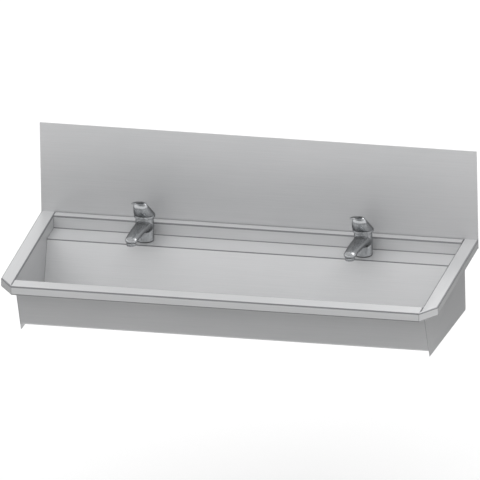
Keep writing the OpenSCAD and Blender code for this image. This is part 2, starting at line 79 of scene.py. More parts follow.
def addNode(tree, kind, inputs, **settings):
    node = tree.nodes.new(kind)
    for key, value in settings.items():
        setattr(node, key, value)
    for key, value in inputs.items():
        if isinstance(value, bpy.types.NodeSocket):
            tree.links.new(value, node.inputs[key])
        else:
            node.inputs[key].default_value = value
    return node


def newMaterial(name):
    material = bpy.data.materials.new(name)
    material.use_nodes = True
    material.node_tree.nodes.clear()
    return material, material.node_tree


# Every finish is a ground tone with faint clouds and a finer pattern over it: scratches, grain
# or moulding texture. The pattern changes the tone and the gloss, and stands up a little. Its
# marks, along x, y and z, the clouds and the depth are in millimetres; an edge tint darkens
# what is seen at a flat angle.
def finished(name, finish):
    material, tree = newMaterial(name)
    where = addNode(tree, "ShaderNodeTexCoord", {}).outputs["Object"]
    perMark = [1000 / size for size in finish["mark"]]
    marks = addNode(tree, "ShaderNodeMapping", {"Vector": where, "Scale": perMark})
    lines = addNode(tree, "ShaderNodeTexNoise",
                    {"Vector": marks.outputs[0], "Scale": 1.0, "Detail": 3.0, "Roughness": 0.6})
    cloud = addNode(tree, "ShaderNodeTexNoise",
                    {"Vector": where, "Scale": 1000 / finish["cloud"], "Detail": 2.0})
    mixed = addNode(tree, "ShaderNodeMath", {0: lines.outputs[0], 1: cloud.outputs[0]},
                    operation="ADD")
    rough = addNode(tree, "ShaderNodeMapRange", {
        "Value": mixed.outputs[0], "From Min": 0.6, "From Max": 1.4,
        "To Min": finish["rough"] - finish["roughSpread"],
        "To Max": finish["rough"] + finish["roughSpread"]})
    tone = addNode(tree, "ShaderNodeMapRange",
                   {"Value": mixed.outputs[0], "From Min": 0.7, "From Max": 1.3})
    dark, light = linear(finish["dark"]), linear(finish["light"])
    colour = addNode(tree, "ShaderNodeMix", {0: tone.outputs[0], 6: dark, 7: light},
                     data_type="RGBA")
    bump = addNode(tree, "ShaderNodeBump", {
        "Strength": 0.25, "Distance": finish["depth"] / 1000, "Height": lines.outputs[0]})
    shader = addNode(tree, "ShaderNodeBsdfPrincipled", {
        "Base Color": colour.outputs[2], "Metallic": finish["metal"],
        "Roughness": rough.outputs[0], "Normal": bump.outputs[0],
        "Specular Tint": linear(finish.get("edge", "#FFFFFF"))})
    addNode(tree, "ShaderNodeOutputMaterial", {"Surface": shader.outputs[0]})
    return material


# Stainless sheet with a satin finish: long scratches left by the belt, side by side. They are
# 0.05 to 0.2 mm wide, too fine to show here, so they are drawn about 2 mm apart. The scratches
# scatter part of the light evenly, so the sheet is less than fully metal.
grainAlong, grainAcross = (140, 2.2, 2.2), (2.2, 140, 2.2)
satinSheet = {"dark": "#C7C8C9", "light": "#CFCFD0", "rough": 0.42, "roughSpread": 0.05,
              "metal": 0.45, "cloud": 330, "depth": 0.02}
brushedAlong = finished("satin stainless, grain along", dict(satinSheet, mark=grainAlong))
brushedAcross = finished("satin stainless, grain across", dict(satinSheet, mark=grainAcross))
# Painted shade along each fold: the fold's narrow faces get a darker tone, which draws the fold as
# a dark line, and they are also made glossier and more metal
foldShadeFinish = dict(satinSheet, dark="#87888A", light="#919294", rough=0.3, metal=0.7)
foldShadeAlong = finished("satin stainless, painted fold shade, along", dict(foldShadeFinish, mark=grainAlong))
foldShadeAcross = finished("satin stainless, painted fold shade, across", dict(foldShadeFinish, mark=grainAcross))

# Cold-rolled sheet left as it came from the mill: dull and even, with faint rolling marks
millStainless = finished("mill-finish stainless", {
    "dark": "#A9AAAB", "light": "#B5B6B7", "rough": 0.46, "roughSpread": 0.06, "metal": 0.9,
    "mark": (60, 5, 5), "cloud": 90, "depth": 0.01})
# Pressed and buffed stainless: bright, with short fine wipe marks
polishedStainless = finished("polished stainless", {
    "dark": "#BEBFC0", "light": "#C8C8C9", "rough": 0.2, "roughSpread": 0.06, "metal": 1.0,
    "mark": (1.6, 9, 1.6), "cloud": 30, "depth": 0.008})
# Chrome plate: the brass under it is brushed fine, which blurs what it mirrors and scatters part
# of the light. The fine brushing swallows light that comes in very flat, so the plate darkens
# where it turns away from the eye.
chromePlate = finished("chrome plate on brass", {
    "dark": "#BEC0C2", "light": "#C8CACC", "edge": "#303030", "rough": 0.24, "roughSpread": 0.03,
    "metal": 0.85, "mark": (7, 7, 14), "cloud": 26, "depth": 0.012})
# Cold-formed stainless fasteners, bright with drawing marks
drawnSteel = finished("drawn stainless fastener", {
    "dark": "#A6A7A8", "light": "#B6B6B7", "rough": 0.32, "roughSpread": 0.08, "metal": 1.0,
    "mark": (0.9, 0.9, 7), "cloud": 12, "depth": 0.015})
# Milled brass, warm and bright, with cutter marks across it
milledBrass = finished("milled brass", {
    "dark": "#BD9A58", "light": "#CFAE72", "rough": 0.3, "roughSpread": 0.07, "metal": 1.0,
    "mark": (8, 8, 0.7), "cloud": 10, "depth": 0.02})
# Moulded EPDM rubber, nearly black and matt, with a powdery grain of about 0.7 mm
blackRubber = finished("moulded black rubber", {
    "dark": "#161617", "light": "#232324", "rough": 0.68, "roughSpread": 0.1, "metal": 0.0,
    "mark": (0.7, 0.7, 0.7), "cloud": 14, "depth": 0.05})
# Injection-moulded acetal from a fine spark-eroded tool: a soft sheen over 0.8 mm grain
whiteAcetal = finished("moulded white acetal", {
    "dark": "#DADAD6", "light": "#E6E6E2", "rough": 0.4, "roughSpread": 0.08, "metal": 0.0,
    "mark": (0.8, 0.8, 0.8), "cloud": 16, "depth": 0.03})
greyAcetal = finished("moulded grey acetal", {
    "dark": "#74777A", "light": "#7F8285", "rough": 0.36, "roughSpread": 0.07, "metal": 0.0,
    "mark": (0.8, 0.8, 0.8), "cloud": 8, "depth": 0.02})

nodeFinish = {   # a tap's nodes without their side
    "wall_rail": millStainless, "tap_plate": millStainless, "splashback": brushedAlong,
    "front_sheet": brushedAlong, "bowl_sheet": brushedAlong, "ledge_sheet": brushedAlong,
    "left_end": brushedAcross, "right_end": brushedAcross,
    "waste_body": polishedStainless, "waste_grid": polishedStainless, "grid_screw": drawnSteel,
    "waste_seal": blackRubber, "waste_washer": blackRubber, "waste_nut": whiteAcetal,
    "tap_body": chromePlate, "spout": chromePlate, "base_seal": blackRubber,
    "cartridge": whiteAcetal, "dome_nut": chromePlate, "carrier": whiteAcetal,
    "pivot_pin": drawnSteel, "spindle": milledBrass, "lever": chromePlate,
    "lever_screw": drawnSteel, "index_plug": greyAcetal, "aerator": chromePlate,
    "aerator_insert": whiteAcetal, "stud": drawnSteel, "horseshoe_gasket": blackRubber,
    "horseshoe_washer": drawnSteel, "stud_nut": drawnSteel,
}
for name, obj in nodes.items():
    key = name if name in nodeFinish else name.split("_", 1)[1]
    obj.data.materials.clear()
    obj.data.materials.append(nodeFinish[key])
print("materials set")


# meshes from grids of points, in millimetres

def gridFaces(rows, columns, closed=False):  # quads between neighbouring rows and columns
    r, c = np.meshgrid(np.arange(rows - 1), np.arange(columns if closed else columns - 1),
                       indexing="ij")
    n = (c + 1) % columns
    return np.stack([r * columns + c, r * columns + n, (r + 1) * columns + n,
                     (r + 1) * columns + c], -1)


def tube(grid):  # the points and quads of a grid that is closed round its second direction
    return grid.reshape(-1, 3), gridFaces(*grid.shape[:2], closed=True)


def joined(*parts):  # several (points, quads) in one
    shift = np.cumsum([0] + [len(points) for points, quads in parts[:-1]])
    return (np.concatenate([points for points, quads in parts]),
            np.concatenate([quads.reshape(-1, 4) + s for (points, quads), s in zip(parts, shift)]))


# Closes a shape and turns it outwards: equal points become one, quads with a doubled corner
# become triangles, and the volume, summed over the faces, has to come out positive.
def welded(shape, grain=1e-3):
    points, quads = shape
    key, first, back = np.unique(np.round(points / grain).astype(np.int64), axis=0,
                                 return_index=True, return_inverse=True)
    points, quads = points[first] / 1000, back.reshape(-1)[quads.reshape(-1, 4)]
    a, b, c, d = (points[quads[:, i]] for i in range(4))
    volume = np.einsum("ij,ij->", a, np.cross(b, c)) + np.einsum("ij,ij->", a, np.cross(c, d))
    if volume < 0:
        quads = quads[:, ::-1]
    doubled = quads == np.roll(quads, -1, axis=1)
    whole = quads[~doubled.any(1)]
    thin = quads[doubled.sum(1) == 1]
    thin = thin[~doubled[doubled.sum(1) == 1]].reshape(-1, 3)
    return points, np.concatenate([whole.ravel(), thin.ravel()]), [4] * len(whole) + [3] * len(thin)


def narrowFaces(mesh, widest):  # 1 for each face whose area / longest side is under a width in mm
    place, area = np.zeros(len(mesh.vertices) * 3), np.zeros(len(mesh.polygons))
    counts = (len(mesh.loops), len(mesh.polygons), len(mesh.polygons))
    point, start, size = (np.zeros(count, np.int32) for count in counts)
    mesh.vertices.foreach_get("co", place)
    mesh.loops.foreach_get("vertex_index", point)
    for key, values in (("loop_start", start), ("loop_total", size), ("area", area)):
        mesh.polygons.foreach_get(key, values)
    follow = np.arange(len(point)) + 1
    follow[start + size - 1] = start
    corner = place.reshape(-1, 3)[point]
    longest = np.maximum.reduceat(np.linalg.norm(corner[follow] - corner, axis=1), start)
    return (area / longest < widest / 1000).astype(np.int32)


# One object of closed shapes. Edges sharper than an angle in degrees stay sharp, and faces
# narrower than foldFace may have a second finish: on the sheets, the painted fold shade, a dark
# line.
def addObject(name, shapes, material, body, replaces, sharp=32, fold=None, foldFace=0.75):
    solids = [welded(shape) for shape in shapes]
    shift = np.cumsum([0] + [len(points) for points, corners, sizes in solids])
    corners = np.concatenate([solid[1] + s for solid, s in zip(solids, shift)])
    sizes = np.concatenate([solid[2] for solid in solids])
    mesh = bpy.data.meshes.new(name)
    mesh.vertices.add(int(shift[-1]))
    mesh.vertices.foreach_set("co", np.concatenate([solid[0] for solid in solids]).ravel())
    mesh.loops.add(len(corners))
    mesh.loops.foreach_set("vertex_index", corners)
    mesh.polygons.add(len(sizes))
    mesh.polygons.foreach_set("loop_start", np.concatenate([[0], np.cumsum(sizes)[:-1]]))
    mesh.update(calc_edges=True)
    mesh.validate()
    mesh.polygons.foreach_set("use_smooth", np.ones(len(mesh.polygons), bool))
    mesh.set_sharp_from_angle(angle=math.radians(sharp))
    mesh.materials.append(material)
    # the narrow faces take the second finish, on the sheets the painted fold shade
    if fold:
        mesh.materials.append(fold)
        mesh.polygons.foreach_set("material_index", narrowFaces(mesh, foldFace))
    obj = bpy.data.objects.new(name, mesh)
    bpy.context.collection.objects.link(obj)
    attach(obj, body)
    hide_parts(*replaces)
    return obj


# A sheet from the grids of its two sides: the sides become a tube round the second direction,
# and its two ends are closed between the sides. Cells marked in holes stay open on both sides.
def sheetSolid(face, hidden, holes=None):
    rows, columns = face.shape[:2]
    around = 2 * columns
    points, quads = tube(np.concatenate([face, hidden[:, ::-1]], axis=1))
    if holes is not None:
        edge = np.zeros((rows - 1, 1), bool)
        quads = quads[~np.concatenate([holes, edge, holes[:, ::-1], edge], axis=1)]
    near = np.arange(columns - 1)
    ends = []
    for row, step in ((0, 1), (rows - 1, -1)):
        s = row * around
        cap = np.stack([s + near, s + around - 1 - near, s + around - 2 - near, s + near + 1], -1)
        ends.append(cap[:, ::step])
    return points, np.concatenate([quads.reshape(-1, 4)] + ends)


# A folded line with its corners turned into arcs of one inner radius, and a point just outside
# each arc so that the flats stay flat. Gives the points of one side and the direction to the
# other side.
def foldedLine(line, bend, thickness, guard=0.8, extra=()):
    line = np.array(line, float)
    points, sides = [line[0]], []
    along = np.diff(line, axis=0)
    along /= np.linalg.norm(along, axis=1)[:, None]
    right = np.stack([along[:, 1], -along[:, 0]], -1)
    sides.append(right[0])
    for i in range(1, len(line) - 1):
        turn = math.atan2(cross2(along[i - 1], along[i]), along[i - 1] @ along[i])
        radius = bend + (thickness if turn < 0 else 0)
        reach = radius * math.tan(abs(turn) / 2)
        steps = 8 if radius < 5 else 12
        hub = line[i] - along[i - 1] * reach - math.copysign(radius, turn) * right[i - 1]
        a = np.linspace(0, turn, steps + 1)[:, None]
        ahead = np.array([-right[i - 1, 1], right[i - 1, 0]])
        spoke = right[i - 1] * np.cos(a) + ahead * np.sin(a)
        arc = hub + math.copysign(radius, turn) * spoke
        points += [arc[0] - along[i - 1] * guard, *arc, arc[-1] + along[i] * guard]
        sides += [right[i - 1], *spoke, right[i]]
    points, sides = np.array(points + [line[-1]]), np.array(sides + [right[-1]])
    for value in extra:  # more points on the flats, at these distances from the wall
        at = np.flatnonzero((points[:-1, 0] < value) & (points[1:, 0] > value))[0]
        part = (value - points[at, 0]) / (points[at + 1, 0] - points[at, 0])
        between = points[at] + part * (points[at + 1] - points[at])
        points = np.insert(points, at + 1, between, axis=0)
        sides = np.insert(sides, at + 1, sides[at], axis=0)
    return points, sides


def cross2(a, b):
    return a[0] * b[1] - a[1] * b[0]


def meet(p, d, q, e):  # where the line from p along d crosses the line from q along e
    return p + d * cross2(q - p, e) / cross2(d, e)


def stepFrom(a, b, distance):
    return a + (b - a) / np.linalg.norm(b - a) * distance


def alongX(profile, stations):  # [y, z] points at each x
    grid = np.zeros((len(stations), len(profile), 3))
    grid[:, :, 0] = np.array(stations)[:, None]
    grid[:, :, 1:] = profile[None]
    return grid


def windowLines(middle, half, count):  # grid lines over a window
    return middle + np.linspace(-half, half, count)


def squareOf(grid, rows, columns):  # the grid's points round a block of cells, in order
    r0, r1, c0, c1 = rows[0], rows[-1], columns[0], columns[-1]
    return np.concatenate([grid[r0, c0:c1], grid[r0:r1, c1], grid[r1, c1:c0:-1],
                           grid[r1:r0:-1, c0]])


# A round window in a flat part of a sheet. It starts on the square of grid points left open,
# turns into circles, goes through the hole and back out to the hidden side's square. Each
# circle is a radius and a height, or a radius and a function that gives the height at y.
def roundWindow(square, hiddenSquare, circles):
    middle = square.mean(0)
    spoke = square[:, :2] - middle[:2]
    spoke /= np.linalg.norm(spoke, axis=1)[:, None]
    rings = [square]
    for radius, height in circles:
        xy = middle[:2] + spoke * radius
        z = height(xy[:, 1]) if callable(height) else np.full(len(xy), height)
        rings.append(np.column_stack([xy, z]))
    return tube(np.stack(rings + [hiddenSquare]))


# trough

trough = {
    "length": 1200, "depth": 550, "sheet": 1.5, "foldRadius": 2, "weldStrip": 0.7,
    "frontRim": 50, "endRim": 40, "dropEdge": 25, "dropFold": 8, "cornerClip": 56,
    "rimSeam": 2,               # from the outer fold to the rim's own sheet
    "bowlFront": 151, "frontLean": 60, "floorFall": 22, "backLean": 58, "bowlRadius": 12,
    "seamUp": 30, "seamDown": 12,
    "ledgeWidth": 80, "ledgeDrop": 35, "backStrip": 32,
    "splashHeight": 255, "splashLap": 25, "splashEased": 0.4,
    "tapX": 300, "tapY": -72, "tapHole": 17.5, "tapHoleEased": (0.5, 0.2), "tapWindow": 28,
    "wasteY": -235, "wasteHole": 25.9, "recessRadius": 46, "recessDrop": 8, "recessSoft": 2,
    "recessGuard": 0.6, "recessChamfer": 1, "recessWindow": 53,
    "endSkirt": 17, "wallFlange": 30, "flangeUp": 4, "flangeGap": 1, "flangeHole": 4.5,
    "flangeHoleUp": 30, "flangeWindow": 9,
}
t = trough
sheet, foldRadius = t["sheet"], t["foldRadius"]
sideX = t["length"] / 2
endX = sideX - t["endRim"]
ledgeY = -t["backStrip"] - t["ledgeWidth"]
frontFoot = np.array([-t["depth"] + t["frontRim"] + t["frontLean"], -t["bowlFront"]])
backFoot = np.array([ledgeY - t["backLean"], -t["bowlFront"] - t["floorFall"]])
slope = (backFoot - frontFoot)[1] / (backFoot - frontFoot)[0]
rimInner = np.array([-t["depth"] + t["frontRim"], 0])
ledgeFront = np.array([ledgeY, -t["ledgeDrop"]])
frontSeam = stepFrom(frontFoot, rimInner, t["seamUp"])
backSeam = stepFrom(ledgeFront, backFoot, t["seamDown"])


def floorZ(y):
    return frontFoot[1] + (y - frontFoot[0]) * slope


# A sheet folded along the trough. Its last strip at each end is the ground-down weld to the end;
# like the folds, it is narrow enough to take the painted fold shade, a dark line.
# A window is its middle, half the side of its square, and its circles.
def sheetObject(name, line, bend, node, stations=(-endX, endX), extra=(), windows=()):
    profile, side = foldedLine(line, bend, sheet, extra=extra)
    strip = t["weldStrip"]
    stations = np.array([stations[0], stations[0] + strip, *stations[1:-1],
                         stations[-1] - strip, stations[-1]])
    face, hidden = alongX(profile, stations), alongX(profile + side * sheet, stations)
    holes = np.zeros((len(stations) - 1, len(profile) - 1), bool)
    level, slack = np.abs(side[:, 1]) > 0.9, 0.01
    parts = []
    for x, y, half, circles in windows:
        rows = np.flatnonzero(np.abs(stations - x) <= half + slack)
        columns = np.flatnonzero((np.abs(profile[:, 0] - y) <= half + slack) & level)
        holes[rows[0]:rows[-1], columns[0]:columns[-1]] = True
        parts.append(roundWindow(squareOf(face, rows, columns), squareOf(hidden, rows, columns),
                                 circles))
    shape = joined(sheetSolid(face, hidden, holes), *parts)
    return addObject(name, [shape], brushedAlong, "trough", [node], fold=foldShadeAlong)


# The waste recess: from the floor over a small radius, down the wall, over another radius onto
# the level seat, to the hole, and back along the hidden side.
def recessCircles():
    wall, hole, soft, chamfer = (t[key] for key in ("recessRadius", "wasteHole", "recessSoft",
                                                    "recessChamfer"))
    seat = floorZ(t["wasteY"]) - t["recessDrop"]
    quarter = np.radians([0, 30, 60, 90])

    def fromFloor(up):
        return lambda y: floorZ(y) + up
    circles = [(wall + soft + t["recessGuard"], fromFloor(0))]
    circles += [(wall + soft * (1 - math.sin(a)), fromFloor(-soft * (1 - math.cos(a))))
                for a in quarter]
    circles += [(wall - soft * (1 - math.cos(a)), seat + soft * (1 - math.sin(a)))
                for a in quarter]
    return circles + [(hole, seat), (hole, seat - sheet), (wall + sheet - chamfer, seat - sheet),
                      (wall + sheet, seat - sheet + chamfer), (wall + sheet, fromFloor(-sheet))]


def tapCircles():
    radius, top = t["tapHole"], -t["ledgeDrop"]
    wide, deep = t["tapHoleEased"]
    return [(radius + wide, top), (radius, top - deep), (radius, top - sheet)]


frontLine = [[-t["depth"] + t["dropFold"], -t["dropEdge"]], [-t["depth"], -t["dropEdge"]],
             [-t["depth"], 0], rimInner, frontSeam]
sheetObject("frontSheet", frontLine, foldRadius, "front_sheet")

windowHalf, lineCount = t["recessWindow"], 17
floorStations = np.concatenate([[-endX], windowLines(0, windowHalf, lineCount), [endX]])
sheetObject("bowlSheet", [frontSeam, frontFoot, backFoot, backSeam], t["bowlRadius"],
            "bowl_sheet", floorStations, windowLines(t["wasteY"], windowHalf, lineCount),
            [(0, t["wasteY"], windowHalf, recessCircles())])

ledgeLine = [backSeam, ledgeFront, [-t["backStrip"], -t["ledgeDrop"]], [-t["backStrip"], 0],
             [-sheet, 0], [-sheet, -t["splashLap"]]]
windowHalf, lineCount = t["tapWindow"], 9
tapStations = np.concatenate([[-endX], windowLines(-t["tapX"], windowHalf, lineCount),
                              windowLines(t["tapX"], windowHalf, lineCount), [endX]])
sheetObject("ledgeSheet", ledgeLine, foldRadius, "ledge_sheet", tapStations,
            windowLines(t["tapY"], windowHalf, lineCount),
            [(x, t["tapY"], windowHalf, tapCircles()) for x in (-t["tapX"], t["tapX"])])


# The splashback: a flat panel with eased edges. Each side lies off the middle of the sheet by
# half its thickness - eased + eased * sqrt(1 - u^2), where u goes from 0 to 1 into an edge.
def panelShape(low, high):
    eased = t["splashEased"]
    bow = eased * np.sin(np.radians(np.linspace(0, 90, 6)))
    x = np.concatenate([-sideX + eased - bow[::-1], sideX - eased + bow])
    z = np.concatenate([low + eased - bow[::-1], high - eased + bow])
    into = np.maximum(np.abs(x)[:, None] - sideX, np.maximum(z - high, low - z)[None]) + eased
    off = sheet / 2 - eased + eased * np.sqrt(1 - np.clip(into / eased, 0, 1) ** 2)
    sides = [np.stack([np.repeat(x[:, None], len(z), 1), -sheet / 2 + turn * off,
                       np.repeat(z[None], len(x), 0)], -1) for turn in (-1, 1)]
    return sheetSolid(*sides)


addObject("splashPanel", [panelShape(-t["splashLap"], t["splashHeight"])], brushedAlong,
          "trough", ["splashback"])
print("trough sheets made")


# end plates, worked out for the right end and mirrored for the left

takeUp = sheet + foldRadius                 # what a fold takes up of the flats beside it
rimEdge = takeUp + t["rimSeam"]
flangeTop = -t["splashLap"] - t["flangeGap"]
clipFront = np.array([endX, -t["depth"]])   # the ends of the clipped corner's edge
clipSide = np.array([sideX, clipFront[1] + t["cornerClip"]])
clipWay = (clipSide - clipFront) / np.linalg.norm(clipSide - clipFront)
clipInward = np.array([-clipWay[1], clipWay[0]])


# The drop edge: its section is carried from the seam with the front rim, round the mitred
# corner, to the wall.
def dropEdgePart():
    mitre = (clipInward + [-1, 0]) / (1 + clipInward @ [-1, 0])
    section, depth = foldedLine([[t["dropFold"], -t["dropEdge"]], [0, -t["dropEdge"]], [0, 0],
                                 [rimEdge, 0]], foldRadius, sheet)

    def stations(profile):
        inside, strip = profile[:, :1], t["weldStrip"]
        slide = -clipInward[0] * inside / clipWay[0]
        first = clipFront + clipInward * inside + clipWay * slide
        bend = clipSide + mitre * inside
        last = np.array([sideX, -sheet]) + np.array([-1.0, 0]) * inside
        ends = [first, first + clipWay * strip, bend - clipWay * strip, bend, bend + [0, strip],
                last]
        return np.stack([np.column_stack([end, profile[:, 1]]) for end in ends])
    return sheetSolid(stations(section), stations(section + depth * sheet))


def rimPart():  # from the oblique edge to the wall, folded down at the bowl
    edge = clipFront + clipInward * rimEdge
    line, depth = foldedLine([[endX, -takeUp], [endX, 0], [sideX - rimEdge, 0]], foldRadius,
                             sheet, guard=0)

    def stations(profile):
        start = edge[1] + (profile[:, 0] - edge[0]) * clipWay[1] / clipWay[0]
        return np.stack([np.column_stack([profile[:, 0], y, profile[:, 1]])
                         for y in (start, np.full(len(profile), -sheet))])
    return sheetSolid(stations(line), stations(line + depth * sheet))


# The plate: two strips from its upper edge to its lower outline, which runs down along the
# front wall to a point below it and then back along the floor.
def plateParts():
    lean = (frontFoot - rimInner) / np.linalg.norm(frontFoot - rimInner)
    outside = rimInner + np.array([lean[1], -lean[0]]) * sheet
    tip = meet(outside, lean, frontFoot - [0, t["endSkirt"]], np.array([1, slope]))
    top = meet(outside, lean, np.array([0, -takeUp]), np.array([1.0, 0]))
    backZ = floorZ(-takeUp) - t["endSkirt"]
    sliver = 1e-3   # keeps the strip's first edge from closing

    def strip(y, upper, lower):
        face = np.stack([np.column_stack([np.full(len(y), endX), y, z]) for z in (upper, lower)])
        return sheetSolid(face, face + [sheet, 0, 0])
    return [strip([top[0], tip[0], -takeUp], [-takeUp] * 3, [-takeUp - sliver, tip[1], backZ]),
            strip([-takeUp, -sheet], [-takeUp] * 2, [flangeTop] * 2)]


def flangePart():  # the wall flange, folded from the plate, with a hole low down
    skirtZ = floorZ(0) - t["endSkirt"]
    holeZ, half, count = skirtZ + t["flangeHoleUp"], t["flangeWindow"], 9
    middle = endX - t["wallFlange"] / 2
    line, away = foldedLine([[endX + sheet, -takeUp], [endX + sheet, 0],
                             [endX - t["wallFlange"], 0]], foldRadius, -sheet, guard=0)
    across = np.column_stack([windowLines(middle, half, count)[::-1], np.zeros(count)])
    columns = np.concatenate([line[:-1], across, line[-1:]])
    aways = np.concatenate([away[:-1], [away[-1]] * count, away[-1:]])
    levels = np.concatenate([[skirtZ + t["flangeUp"]], windowLines(holeZ, half, count),
                             [flangeTop]])

    def grid(profile):
        out = np.zeros((len(levels), len(profile), 3))
        out[:, :, :2] = profile[None]
        out[:, :, 2] = levels[:, None]
        return out
    face, hidden = grid(columns), grid(columns - aways * sheet)
    rows, window = np.arange(1, 1 + count), len(line) - 1 + np.arange(count)
    holes = np.zeros((len(levels) - 1, len(columns) - 1), bool)
    holes[rows[0]:rows[-1], window[0]:window[-1]] = True
    swap = [0, 2, 1]    # the flange stands up, in x and z
    square, back = (squareOf(g, rows, window)[:, swap] for g in (face, hidden))
    points, quads = roundWindow(square, back, [(t["flangeHole"], square[0, 2]),
                                               (t["flangeHole"], back[0, 2])])
    return joined(sheetSolid(face, hidden, holes), (points[:, swap], quads))


rightEnd = [dropEdgePart(), rimPart(), *plateParts(), flangePart()]
leftEnd = [(points * [-1, 1, 1], quads) for points, quads in rightEnd]
# the end plates' folds and weld strips take the painted fold shade
addObject("rightEnd", rightEnd, brushedAcross, "trough", ["right_end"], fold=foldShadeAcross)
addObject("leftEnd", leftEnd, brushedAcross, "trough", ["left_end"], fold=foldShadeAcross)
print("end plates made")


# taps, each in its own frame: x across, f forward of its axis, z above the ledge

tap = {
    "bodyRadius": 24.5, "bodyFoot": 1.5, "bodyHeight": 65, "edge": 1.2, "bodyGuard": 2.5,
    "footRim": 1,               # from the foot's eased edge to the disc under it
    "nutBore": 20, "boreTop": 56, "bore": 17.6, "boreFoot": 22, "boreEased": 0.5,
    "footHoles": [(-8, -5, 4.6, 13.5), (8, -5, 4.6, 13.5), (0, 11, 4.05, 15)],   # x, y, radius, top
    "spoutStraight": 160, "spoutSquareness": 2.15, "spoutRootRing": 22,
    "spoutRootHalf": 24.2, "spoutTipHalf": 17, "halfCurve": 1.3,   # half its width
    "spoutRootTop": 57, "spoutTipTop": 71, "topCurve": 1.6,
    "spoutRootFoot": 23, "spoutTipFoot": 53, "footCurve": 2.1,
    "flare": 5, "flareTop": 0.6, "flareFrom": 20, "flareLength": 8,
    "outletForward": 163, "outletFoot": 48, "outletTop": 54.5, "outletRadius": 13,
    "outletBore": 10,
    "hoodRadius": 28.5, "hoodFoot": 68, "hoodRim": 6, "hoodWall": 2.5, "skinLift": 0.6,
    "skinFoot": 28.1, "ridgeBall": 13, "ridgeHeight": 90,
    "bellyForward": 19, "bellyHeight": 88, "bellyHalf": [26, 22, 12],
    "noseForward": 42, "noseHeight": 109, "noseHalf": [20.5, 13.5, 17],
    "blend": 2.6, "snap": 0.08, "underside": 5, "leastShare": 0.06,
    "bladeRoot": 28, "bladeReach": 129, "bladeWidth": 16, "bladeThick": 5.5, "bladeTop": 119.5,
    "bladeTipTop": 155.3, "bladeArch": 13, "bladeTaper": 0.3, "bladeSquareness": 2.8,
    "rootWidens": (5, 7), "rootThickens": (7, 8),   # mm at the root, and how fast it fades
    "plugHeight": 93, "plugRadius": 3.9,
}


def circleAngles(steps):
    return np.linspace(0, 2 * np.pi, steps, endpoint=False)


def revolved(profile, steps=72):  # [radius, height] points carried round the upright axis
    profile, a = np.array(profile, float), circleAngles(steps)
    return tube(np.stack([profile[:, :1] * np.cos(a), profile[:, :1] * np.sin(a),
                          np.repeat(profile[:, 1:], steps, 1)], -1))


def ringAt(radius, height, steps=96):
    a = circleAngles(steps)
    return np.column_stack([radius * np.cos(a), radius * np.sin(a), np.full(steps, float(height))])


# A tube of sections across the forward axis. Each is an oval between its foot and its top:
# x = half width * cos(a)^(2/n), z = middle + half height * sin(a)^(2/n), squarer as n grows.
# The values come as columns, one row to a section; forward may also vary round a section.
def crossLoft(forward, halfWidth, foot, top, squareness, steps):
    a = circleAngles(steps)
    c, s = (np.sign(v) * np.abs(v) ** (2 / squareness) for v in (np.cos(a), np.sin(a)))
    middle, half = (foot + top) / 2, (top - foot) / 2
    return np.stack(np.broadcast_arrays(halfWidth * c, -forward, middle + half * s), -1)


# Closes a loft's first section with rings that shrink to nothing. They lie flat, or wrapped
# round an upright cylinder: y = -sqrt(radius^2 - x^2).
def rooted(grid, wrap=0):
    middle = grid[:1].mean(1, keepdims=True)
    inner = middle + (grid[:1] - middle) * np.linspace(0, 0.9, 10)[:, None, None]
    bent = -np.sqrt(np.clip(wrap ** 2 - inner[..., 0] ** 2, 0, None))
    inner[..., 1] = np.where(wrap, bent, middle[..., 1])
    return tube(np.concatenate([inner, grid]))


# The body's underside: a disc with the two inlets and the stud's hole, each an eased blind bore.
# The disc is triangulated between its rings, without the triangles that span a single hole.
def footShape(rim):
    low, ease, steps = tap["bodyFoot"], tap["boreEased"], 32
    rings, bores = [ringAt(rim, low)], []
    for x, y, radius, top in tap["footHoles"]:
        rings.append(ringAt(radius + ease, low, steps) + [x, y, 0])
        points, quads = revolved([[0, top], [radius, top], [radius, low + ease],
                                  [radius + ease, low]], steps)
        bores.append((points + [x, y, 0], quads))
    sizes = [len(ring) for ring in rings]
    points, start = np.concatenate(rings), np.repeat(np.cumsum([0] + sizes[:-1]), sizes)
    at = np.arange(len(points))
    edges = np.stack([at, start + (at - start + 1) % np.repeat(sizes, sizes)], 1)
    flat = delaunay_2d_cdt(points[:, :2].tolist(), edges.tolist(), [], 1, 1e-6)
    corners = np.array(flat[2])
    ring = start[corners]
    spans = (ring == ring[:, :1]).all(1) & (ring[:, 0] > 0)
    return [(points, corners[~spans][:, [2, 1, 0, 0]])] + bores


def bodyShape():
    r, low, high, e = tap["bodyRadius"], tap["bodyFoot"], tap["bodyHeight"], tap["edge"]
    guard, ease, rim = tap["bodyGuard"], tap["boreEased"], r - e - tap["footRim"]
    mouth, seat, bore, floor = tap["nutBore"], tap["boreTop"], tap["bore"], tap["boreFoot"]
    turn = np.radians(np.linspace(0, 90, 5))
    foot = [[r - e + e * math.sin(a), low + e - e * math.cos(a)] for a in turn]
    top = [[r - e + e * math.cos(a), high - e + e * math.sin(a)] for a in turn]
    inside = [[mouth + ease, high], [mouth, high - ease], [mouth, seat], [bore, seat],
              [bore, floor], [0, floor]]
    side = [[rim, low]] + foot + [[r, low + guard], [r, high - guard]] + top + inside
    return joined(revolved(side, steps=96), *footShape(rim))


